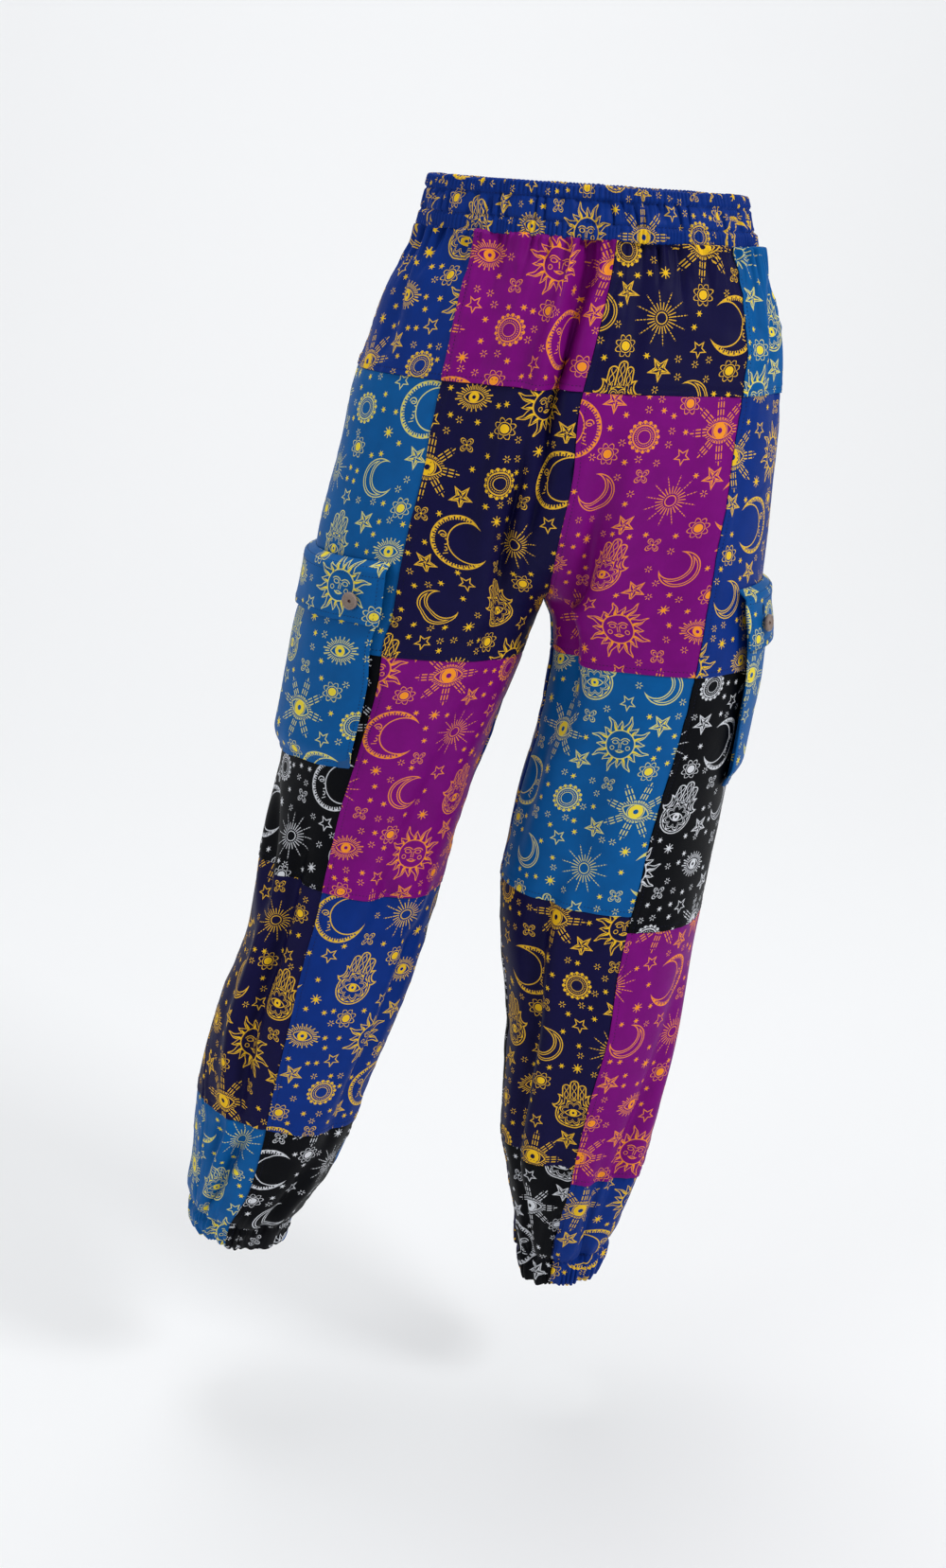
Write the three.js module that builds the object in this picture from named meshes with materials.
// Patchwork harem pants, worn: an elastic waistband, two legs of cloth patches four columns round and
// five rows down, gathered into elastic cuffs, and a button-flap cargo pocket on the side of each leg.
// Millimetres. +Z is up, the front faces -Y, the wearer's left is +X. The origin is the middle of the
// waistband's top opening.
import * as THREE from 'three';

// ---- Driving dimensions -------------------------------------------------------------------------
const WALL = 1.5;              // one thickness of cloth, with its seams pressed in
const SEAM = 0.2;              // each piece stops this far short of the seam line
const MIDDLE_SEAM = 0.15;      // and each leg keeps this far from the middle seam as well
const CROTCH = 329;            // depth of the crotch below the waist top
const FORK = 215;              // depth at which the seat starts to part into two legs
const SPREAD = [165, 375];     // depths between which the sides of the seat turn into the legs' own round
const BAND_WALL = 3;           // folded cloth over elastic
const BAND_SWELL = 1.5;        // the band stands out this much half way down
const NEAR_MIDDLE = 0.2;       // share of the round over which the middle keeps the seat's own line
const COLUMN_STEPS = 5;        // facets across one patch
const FOLD_ROUND = { thigh: 560, ankle: 336, from: 600, to: 950 };  // length round, between two depths
const FOLD_FADE = 0.06;        // folds die out this share of the round before a middle seam
const POCKET_WALL = 1.5;
const POCKET_LIFT = 0.8;       // gap between the leg and what is sewn on it
const MOUTH_STAND = 6;         // how far the pocket's mouth stands off the leg
const BELLY_STAND = 8;         // how much further its belly does
const BELLY_DOWN = 0.55;       // share of the pocket's height down to its belly
const SIDE_TURN = 0.1;         // share of its width in which each side turns in to the leg
const FOOT_TURN = 0.11;        // and of its height in which its foot does
const FLAP_HEIGHT = 50;
const FLAP_CLEAR = 2.2;        // gap between the pocket and its flap
const FLAP_HANG = 2;           // the flap's lower edge stands off the pocket this much more
const FLAP_ABOVE = 10;         // the flap is sewn on this far above the mouth
const FLAP_RISE = [-2, 8];     // depths, from its sewn edge, between which it rises off the leg
const POCKET_HEIGHT = 165;
const BUTTON = {
  radius: 7.2, thick: 3.4, rim: 1.3, dish: 0.9, bevel: 0.8, slope: 1, edge: 20, up: 18, off: 1.6, sides: 16,
};
const FRONT_SEAM = { seat: 40, leg: 12 };  // degrees: from the front middle, and past half way
const DEGREE = Math.PI / 180;

// ---- The form, as level sections ----------------------------------------------------------------
// Makes rows with named columns, and reads a column at any depth on a smooth curve through the rows.
function table(names, rows) {
  const columns = names.split(' ');
  return rows.map((row) => Object.fromEntries(columns.map((name, k) => [name, row[k]])));
}

function read(rows, key, name, at) {
  let k = 0;
  while (k < rows.length - 2 && at > rows[k + 1][key]) k += 1;
  const [a, b] = [rows[k], rows[k + 1]];
  const before = rows[k - 1] ?? a;
  const after = rows[k + 2] ?? b;
  const span = b[key] - a[key];
  const t = Math.min(Math.max((at - a[key]) / span, 0), 1);
  const slopeA = (b[name] - before[name]) / (b[key] - before[key]) * span;
  const slopeB = (after[name] - a[name]) / (after[key] - a[key]) * span;
  return (2 * t ** 3 - 3 * t ** 2 + 1) * a[name] + (t ** 3 - 2 * t ** 2 + t) * slopeA
    + (3 * t ** 2 - 2 * t ** 3) * b[name] + (t ** 3 - t ** 2) * slopeB;
}

// The waist and seat: x of the left side, the middle seams and the right side, how far the cloth
// stands ahead of and behind y = 0, and the angle of each rear column seam from the front middle.
const SEAT = table('down left middle right front back rear_left rear_right', [
  [0, 127, -14, -121, 86, 90, 135, 130],
  [38, 138, -14, -131, 90, 94, 136, 130],
  [75, 162, -8, -145, 99, 106, 139, 130],
  [120, 181, 3, -154, 106, 114, 142, 130],
  [165, 197, 14, -156, 109, 118, 143, 131],
  [215, 209, 18, -155, 110, 119, 143, 133],
  [270, 224, 28, -152, 108, 115, 143, 135],
  [329, 233, 35, -147, 100, 103, 143, 135],
]);

// The legs: x of the outer and inner sides, the reach to front and back, and where the long seams
// run, in degrees: the inseam behind the inner side, the side and rear seams outward from the back.
const LEG_COLUMNS = 'down outer inner front back inseam side rear';
const LEGS = {
  left: table(LEG_COLUMNS, [
    [215, 209, 18, 110, 119, 0, 105, 15],
    [270, 224, 28, 108, 115, 0, 105, 15],
    [329, 233, 35, 100, 103, 0, 105, 15],
    [350, 239, 44, 98, 99, 2, 105, 15],
    [385, 245, 55, 96, 94, 5, 105, 13],
    [435, 255, 73, 96, 88, 8, 105, 14],
    [510, 270, 100, 100, 79, 10, 105, 16],
    [587, 287, 122, 98, 78, 10, 103, 15],
    [640, 298, 139, 90, 82, 12, 100, 16],
    [700, 323, 158, 82, 86, 14, 88, 10],
    [760, 341, 182, 75, 83, 16, 68, 6],
    [810, 349, 201, 68, 77, 16, 58, 4],
    [860, 355, 224, 56, 68, 16, 56, 5],
    [893, 356, 249, 44, 58, 16, 56, 10],
    [915, 354, 264, 34, 48, 16, 56, 12],
    [936, 349, 272, 31, 44, 16, 56, 12],
  ]),
  right: table(LEG_COLUMNS, [
    [215, -155, 18, 110, 119, 0, 108, 22],
    [270, -152, 28, 108, 115, 0, 108, 22],
    [329, -147, 35, 100, 103, 0, 108, 22],
    [350, -148, 29, 98, 99, 2, 108, 19],
    [385, -145, 29, 97, 94, 5, 108, 17],
    [435, -136, 38, 97, 90, 6, 108, 17],
    [510, -124, 57, 99, 82, 6, 106, 14],
    [587, -112, 70, 97, 78, 6, 104, 12],
    [640, -102, 70, 90, 80, 6, 98, 9],
    [700, -91, 64, 82, 82, 6, 88, 6],
    [760, -81, 66, 76, 80, 6, 74, 0],
    [810, -71, 69, 70, 76, 6, 62, -3],
    [860, -59, 65, 60, 69, 6, 53, -7],
    [893, -48, 60, 49, 61, 6, 51, -12],
    [933, -31, 53, 37, 49, 6, 50, -16],
    [978, -20, 49, 32, 44, 6, 48, -18],
  ]),
};

// The cross seams: their depth at the middle or inseam, and how much they rise per mm towards +X.
const CROSS = {
  left: table('seam down tilt', [
    [0, 38.4, 0.07], [1, 150, 0.06], [2, 374, 0.10], [3, 588, 0.17], [4, 805, 0.18], [5, 934, 0.20],
  ]),
  right: table('seam down tilt', [
    [0, 38.4, 0.07], [1, 150, 0.06], [2, 374, 0.06], [3, 582, 0.10], [4, 829, 0.06], [5, 968, -0.12],
  ]),
};
// A few patches were cut long: their lower seam lies this share of the next row further down.
const CUT_LONG = { right: { back_outer: { 3: 0.06, 4: 0.12 }, front_outer: { 3: 0.06, 4: 0.05 } } };

// The broad folds, pressed into the sections (mm, inward): where each starts and ends down the rows
// and round the leg, its half width and its depth. A share of 0 or 1 round the leg is the inseam.
const FOLD_COLUMNS = 'top bottom round_top round_bottom width depth';
const FOLDS = {
  left: table(FOLD_COLUMNS, [
    [0.1, 1.5, 0.950, 0.955, 18, 11], [0.0, 0.8, 0.60, 0.62, 14, 4], [1.1, 2.2, 0.93, 0.90, 20, 9],
    [1.2, 2.6, 0.10, 0.13, 20, 9], [0.1, 1.2, 0.06, 0.08, 14, 6], [2.2, 3.6, 0.86, 0.80, 20, 6],
    [2.9, 3.9, 0.70, 0.60, 22, 10], [3.8, 4.7, 0.66, 0.60, 14, 7], [3.0, 4.4, 0.30, 0.24, 22, 8],
  ]),
  right: table(FOLD_COLUMNS, [
    [0.1, 1.2, 0.950, 0.95, 14, 6], [1.0, 2.1, 0.92, 0.90, 20, 8], [1.2, 2.6, 0.11, 0.14, 20, 9],
    [0.1, 1.0, 0.08, 0.10, 14, 5], [2.1, 3.2, 0.84, 0.82, 16, 6], [3.0, 4.1, 0.87, 0.85, 20, 10],
    [3.3, 4.7, 0.66, 0.68, 16, 8], [2.8, 4.3, 0.32, 0.28, 22, 8], [4.0, 4.7, 0.90, 0.88, 14, 7],
  ]),
};

const mix = (a, b, t) => a + (b - a) * t;
const smooth = (a, b, x) => {
  const t = Math.min(Math.max((x - a) / (b - a), 0), 1);
  return t * t * (3 - 2 * t);
};

// The angle of the cloth at a share u round the leg, through the four long seams.
function seamAngle(u, seams) {
  const k = Math.min(Math.floor(u * 4), 3);
  return mix(seams[k], seams[k + 1], u * 4 - k) * DEGREE;
}

// The x of the middle seam, and of the leg's inner side below the crotch.
const innerSide = (side, down) => (down < CROTCH
  ? read(SEAT, 'down', 'middle', down) : read(LEGS[side], 'down', 'inner', down));

// One point of the cloth at a share u round the leg (0 and 1 are the middle seams and then the
// inseam, 0.5 is the side seam) in the level section at a given depth.
function sectionPoint(side, u, down) {
  const seat = (name) => read(SEAT, 'down', name, Math.min(down, CROTCH));
  const leg = (name) => read(LEGS[side], 'down', name, Math.max(down, FORK));
  const parted = Math.min(Math.max((down - FORK) / (CROTCH - FORK), 0), 1);
  const underCrotch = 1 - Math.sqrt(1 - parted ** 2);
  const nearMiddle = smooth(NEAR_MIDDLE, 0, Math.min(u, 1 - u));
  const ring = mix(smooth(SPREAD[0], SPREAD[1], down), underCrotch, nearMiddle);
  const point = new THREE.Vector3(0, 0, -down);
  if (ring < 1) {
    const middle = seat('middle');
    const angle = seamAngle(u, [0, FRONT_SEAM.seat, 90, seat(`rear_${side}`), 180]);
    point.x += (1 - ring) * (middle + (seat(side) - middle) * Math.sin(angle));
    point.y += (1 - ring) * (-Math.cos(angle) * mix(seat('front'), seat('back'), 0.5)
      + (seat('back') - seat('front')) / 2);
  }
  if (ring > 0) {
    const [outer, inner] = [leg('outer'), innerSide(side, down)];
    const [front, back] = [leg('front'), leg('back')];
    const [inseam, flank] = [-leg('inseam'), 270 - leg('side')];
    const ahead = (inseam + flank) / 2 + FRONT_SEAM.leg;
    const angle = seamAngle(u, [inseam, ahead, flank, 270 - leg('rear'), 360 + inseam]);
    point.x += ring * ((outer + inner) / 2 - (outer - inner) / 2 * Math.cos(angle));
    point.y += ring * ((back - front) / 2 - (back + front) / 2 * Math.sin(angle));
  }
  return point;
}

// One point of the cloth at a share u round and v rows down, with the cross seams' tilt and the
// folds. The tilt is found in two passes, because it moves the point into another section.
function clothPoint(side, u, v) {
  const row = Math.min(Math.floor(v), 4);
  const line = (name) => mix(CROSS[side][row][name], CROSS[side][row + 1][name], v - row);
  const level = line('down');
  let point = sectionPoint(side, u, level);
  for (let pass = 0; pass < 2; pass += 1) {
    point = sectionPoint(side, u, level - line('tilt') * (point.x - innerSide(side, level)));
  }
  const down = -point.z;
  const inner = innerSide(side, down);
  const outer = read(LEGS[side], 'down', 'outer', Math.max(down, FORK));
  const centre = new THREE.Vector3(mix(inner, (outer + inner) / 2, smooth(FORK, CROTCH, down)), 0, point.z);
  const inward = centre.sub(point).normalize();
  const round = mix(FOLD_ROUND.thigh, FOLD_ROUND.ankle, smooth(FOLD_ROUND.from, FOLD_ROUND.to, down));
  for (const fold of FOLDS[side]) {
    const along = (v - fold.top) / (fold.bottom - fold.top);
    if (along > 0 && along < 1) {
      const across = (u - mix(fold.round_top, fold.round_bottom, along)) * round / fold.width;
      const edge = smooth(0, FOLD_FADE, u) * smooth(0, FOLD_FADE, 1 - u);
      const shape = Math.sin(Math.PI * along) * Math.exp(-(across ** 2));
      point.addScaledVector(inward, fold.depth * edge * shape);
    }
  }
  point.x += side === 'left' ? MIDDLE_SEAM : -MIDDLE_SEAM;
  return point;
}

// ---- Solids from grids of points ----------------------------------------------------------------
// Closes two matching grids, the cloth's face and its back, into one solid.
function sheetSolid(face, back) {
  const [rows, columns] = [face.length, face[0].length];
  const positions = [...face.flat(), ...back.flat()].flatMap((p) => [p.x, p.y, p.z]);
  const at = (layer, r, c) => layer * rows * columns + r * columns + c;
  const index = [];
  const quad = (a, b, c, d) => index.push(a, b, c, a, c, d);
  for (let r = 0; r < rows - 1; r += 1) {
    for (let c = 0; c < columns - 1; c += 1) {
      quad(at(0, r, c), at(0, r + 1, c), at(0, r + 1, c + 1), at(0, r, c + 1));
      quad(at(1, r, c), at(1, r, c + 1), at(1, r + 1, c + 1), at(1, r + 1, c));
    }
    quad(at(0, r, 0), at(1, r, 0), at(1, r + 1, 0), at(0, r + 1, 0));
    quad(at(0, r, columns - 1), at(0, r + 1, columns - 1), at(1, r + 1, columns - 1), at(1, r, columns - 1));
  }
  for (let c = 0; c < columns - 1; c += 1) {
    quad(at(0, 0, c), at(0, 0, c + 1), at(1, 0, c + 1), at(1, 0, c));
    quad(at(0, rows - 1, c), at(1, rows - 1, c), at(1, rows - 1, c + 1), at(0, rows - 1, c + 1));
  }
  return outward(positions, index);
}

// Turns the faces outward, whichever way round the grid ran.
function outward(positions, index) {
  let volume = 0;
  const corner = (k) => new THREE.Vector3().fromArray(positions, 3 * k);
  for (let k = 0; k < index.length; k += 3) {
    volume += corner(index[k]).dot(corner(index[k + 1]).cross(corner(index[k + 2])));
  }
  if (volume < 0) index.reverse();
  const geometry = new THREE.BufferGeometry();
  geometry.setAttribute('position', new THREE.Float32BufferAttribute(positions, 3));
  geometry.setIndex(index);
  geometry.computeVertexNormals();
  return geometry;
}

// ---- The pants ----------------------------------------------------------------------------------
const CLOTH = {
  royal: 0x1040a0, teal: 0x0f68ad, purple: 0x80188a, navy: 0x1a1850, black: 0x0a0d15,
};
const BUTTON_BROWN = 0x8a7468;
const matte = (color, roughness) => new THREE.MeshStandardMaterial({ color, roughness, metalness: 0 });
const cloth = (colour) => matte(CLOTH[colour], 0.75);

const pants = new THREE.Group();
function add(name, geometry, material) {
  const mesh = new THREE.Mesh(geometry, material);
  mesh.name = name;
  pants.add(mesh);
}

// Each leg's patches, a column at a time from the inseam round by the front and the side.
const COLUMNS = ['front_inner', 'front_outer', 'back_outer', 'back_inner'];
const PATCHES = {
  left: {
    front_inner: ['navy', 'purple', 'royal', 'black', 'teal'],
    front_outer: ['royal', 'teal', 'black', 'navy', 'teal'],
    back_outer: ['royal', 'teal', 'black', 'navy', 'teal'],
    back_inner: ['purple', 'navy', 'purple', 'royal', 'black'],
  },
  right: {
    front_inner: ['purple', 'teal', 'royal', 'black', 'navy'],
    front_outer: ['teal', 'royal', 'black', 'purple', 'royal'],
    back_outer: ['teal', 'royal', 'black', 'purple', 'royal'],
    back_inner: ['navy', 'purple', 'teal', 'navy', 'black'],
  },
};

// The lines that the facets follow down each leg: closer together at the crotch, and one on every
// cross seam, so that pieces that meet share their points.
const EVEN = [0, 0.18, 0.36, 0.52, 0.68, 0.84];
const CROTCH_LINE = (CROTCH - CROSS.left[1].down) / (CROSS.left[2].down - CROSS.left[1].down);
const NEAR_CROTCH = [0, 0.16, 0.31, 0.46, 0.58, 0.68, 0.76, CROTCH_LINE, 0.9];
const seamLine = (side, column, row) => row + (CUT_LONG[side]?.[column]?.[row] ?? 0);

function facetLines(side) {
  const lines = [5];
  for (let row = 0; row < 5; row += 1) {
    (row === 1 ? NEAR_CROTCH : EVEN).forEach((step) => lines.push(row + step));
    COLUMNS.forEach((column) => lines.push(seamLine(side, column, row)));
  }
  return [...new Set(lines)].sort((a, b) => a - b);
}

// The whole leg as one grid, with the mean direction of the facets round each point.
function legGrid(side) {
  const lines = facetLines(side);
  const around = COLUMNS.length * COLUMN_STEPS;
  const shares = Array.from({ length: around + 1 }, (_, k) => k / around);
  const points = lines.map((v) => shares.map((u) => clothPoint(side, u, v)));
  const normals = points.map((row) => row.map(() => new THREE.Vector3()));
  const closed = (r) => lines[r] > 1 + CROTCH_LINE - 1e-9;
  for (let r = 0; r < lines.length - 1; r += 1) {
    for (let c = 0; c < around; c += 1) {
      const down = points[r + 1][c + 1].clone().sub(points[r][c]);
      const across = points[r + 1][c].clone().sub(points[r][c + 1]);
      const face = down.cross(across).normalize().multiplyScalar(side === 'left' ? -1 : 1);
      [[r, c], [r + 1, c], [r + 1, c + 1], [r, c + 1]].forEach(([i, j]) => normals[i][j].add(face));
    }
  }
  // On the inseam the two edges share a direction. On the middle seams the wall must not lean over
  // into the other leg.
  const lean = side === 'left' ? Math.min : Math.max;
  normals.forEach((row, r) => {
    if (closed(r)) {
      row[0].add(row[around]);
      row[around].copy(row[0]);
    } else {
      [row[0], row[around]].forEach((normal) => normal.setX(lean(normal.x, 0)));
    }
    row.forEach((normal) => normal.normalize());
  });
  return { lines, points, normals };
}

// A patch stops short of its seams: its edge points move a little way into the patch.
function inset(grid) {
  const last = [grid.length - 1, grid[0].length - 1];
  const pull = (from, to) => to.clone().sub(from).setLength(SEAM);
  return grid.map((row, r) => row.map((point, c) => {
    const moved = point.clone();
    if (r === 0) moved.add(pull(point, grid[1][c]));
    if (r === last[0]) moved.add(pull(point, grid[r - 1][c]));
    if (c === 0) moved.add(pull(point, row[1]));
    if (c === last[1]) moved.add(pull(point, row[c - 1]));
    return moved;
  }));
}

for (const side of ['left', 'right']) {
  const { lines, points, normals } = legGrid(side);
  COLUMNS.forEach((column, k) => {
    PATCHES[side][column].forEach((colour, row) => {
      const top = lines.indexOf(seamLine(side, column, row));
      const bottom = lines.indexOf(row === 4 ? 5 : seamLine(side, column, row + 1));
      const cut = (grid) => grid.slice(top, bottom + 1)
        .map((line) => line.slice(k * COLUMN_STEPS, (k + 1) * COLUMN_STEPS + 1));
      const face = inset(cut(points));
      const away = cut(normals);
      const back = face.map((line, r) => line.map((p, c) => p.clone().addScaledVector(away[r][c], -WALL)));
      add(`${side}_${column}_${row + 1}`, sheetSolid(face, back), cloth(colour));
    });
  });
}

// The waistband is one ring of folded cloth on elastic, a little fuller half way down.
const BAND_LINES = table('down out', [[0, 0], [12, BAND_SWELL], [26, BAND_SWELL], [38, 0]]);
const BAND_STEPS = 22;

function bandPoint(step, down, out) {
  const side = step <= BAND_STEPS ? 'left' : 'right';
  const u = side === 'left' ? step / BAND_STEPS : 2 - step / BAND_STEPS;
  const point = sectionPoint(side, u, down);
  point.z += CROSS.left[0].tilt * (point.x - innerSide(side, down));
  const away = new THREE.Vector3(point.x - SEAT[0].middle, point.y, 0).normalize();
  return point.addScaledVector(away, out);
}

const bandProfile = [
  ...BAND_LINES.map(({ down, out }) => [down, out + BAND_WALL / 2]),
  ...[...BAND_LINES].reverse().map(({ down, out }) => [down, out - BAND_WALL / 2]),
];
const bandPositions = [];
const bandIndex = [];
for (let step = 0; step < 2 * BAND_STEPS; step += 1) {
  bandProfile.forEach(([down, out], k) => {
    const next = (k + 1) % bandProfile.length;
    const [here, there] = [step, (step + 1) % (2 * BAND_STEPS)].map((s) => s * bandProfile.length);
    bandPositions.push(...bandPoint(step, down, out).toArray());
    bandIndex.push(here + k, there + k, there + next, here + k, there + next, here + next);
  });
}
add('waistband', outward(bandPositions, bandIndex), cloth('royal'));

// The cargo pockets: a pouch with folded sides, its flap sewn on above the mouth, and the button
// near the flap's back corner. Shares round the leg of the front and back edges, at the mouth and
// at the bottom, and the depth of the flap's sewn edge.
const POCKETS = {
  left: { flapTop: 285, mouth: [0.497, 0.731], foot: [0.515, 0.745] },
  right: { flapTop: 312, mouth: [0.435, 0.683], foot: [0.392, 0.630] },
};
const POUCH_ACROSS = [0, 0.04, 0.1, 0.26, 0.42, 0.58, 0.74, 0.9, 0.96, 1];
const POUCH_DOWN = [0, 0.2, 0.4, 0.58, 0.74, 0.88, 0.95, 1];
const FLAP_ACROSS = [-0.02, 0.15, 0.32, 0.5, 0.68, 0.85, 1.02];
const FLAP_DOWN = [0, 4, 8, 18, 30, 42, FLAP_HEIGHT];

// A point over the leg: share across the pocket from its front edge, mm below the flap's sewn edge,
// and mm out from the cloth.
function overLeg(side, across, below, out) {
  const { flapTop, mouth, foot } = POCKETS[side];
  const depth = flapTop + below;
  const hang = below / (FLAP_ABOVE + POCKET_HEIGHT);
  const edge = (k) => mix(mouth[k], foot[k], hang);
  const place = (u, down) => sectionPoint(side, u, down);
  const u = mix(edge(0), edge(1), across);
  const point = place(u, depth);
  const round = place(u + 0.01, depth).sub(place(u - 0.01, depth));
  const drop = place(u, depth + 2).sub(place(u, depth - 2));
  const away = round.cross(drop).normalize().multiplyScalar(side === 'left' ? -1 : 1);
  return point.addScaledVector(away, out);
}

// How far the pouch and the flap stand off the leg.
const stand = (down) => MOUTH_STAND + BELLY_STAND * smooth(0, BELLY_DOWN, down);
const pouchOut = (across, down) => POCKET_LIFT + stand(down) * smooth(0, SIDE_TURN, across)
  * smooth(0, SIDE_TURN, 1 - across) * smooth(0, FOOT_TURN, 1 - down);
const flapOut = (across, below) => {
  const overMouth = stand(Math.max(below - FLAP_ABOVE, 0) / POCKET_HEIGHT) + POCKET_WALL + FLAP_CLEAR;
  return POCKET_LIFT + overMouth * smooth(...FLAP_RISE, below)
    + FLAP_HANG * smooth(FLAP_ABOVE, FLAP_HEIGHT, below);
};

const pocketGrid = (side, acrossList, belowList, out) => belowList.map(
  (below) => acrossList.map((across) => overLeg(side, across, below, out(across, below))),
);

for (const side of Object.keys(POCKETS)) {
  const pouchBelow = POUCH_DOWN.map((down) => FLAP_ABOVE + down * POCKET_HEIGHT);
  const pouch = (wall) => pocketGrid(side, POUCH_ACROSS, pouchBelow,
    (across, below) => wall + pouchOut(across, (below - FLAP_ABOVE) / POCKET_HEIGHT));
  add(`${side}_pocket`, sheetSolid(pouch(POCKET_WALL), pouch(0)), cloth('teal'));

  const flap = (wall) => pocketGrid(side, FLAP_ACROSS, FLAP_DOWN,
    (across, below) => wall + flapOut(across, below));
  add(`${side}_flap`, sheetSolid(flap(POCKET_WALL), flap(0)), cloth('teal'));

  const width = overLeg(side, 0, FLAP_HEIGHT, 0).distanceTo(overLeg(side, 1, FLAP_HEIGHT, 0));
  const [across, below] = [1 - BUTTON.edge / width, FLAP_HEIGHT - BUTTON.up];
  const seat = overLeg(side, across, below, flapOut(across, below) + POCKET_WALL + BUTTON.off);
  const ahead = overLeg(side, across, below, 1).sub(overLeg(side, across, below, 0)).normalize();
  const { radius, thick, rim, dish, bevel, slope, sides } = BUTTON;
  const profile = [[0, 0], [radius - slope, 0], [radius, slope], [radius, thick - bevel],
    [radius - bevel, thick], [radius - rim, thick], [radius - rim - slope, thick - dish], [0, thick - dish]];
  const disc = new THREE.LatheGeometry(profile.map(([r, h]) => new THREE.Vector2(r, h)), sides);
  disc.applyQuaternion(new THREE.Quaternion().setFromUnitVectors(new THREE.Vector3(0, 1, 0), ahead));
  disc.translate(seat.x, seat.y, seat.z);
  add(`${side}_button`, disc, matte(BUTTON_BROWN, 0.5));
}

export default pants;
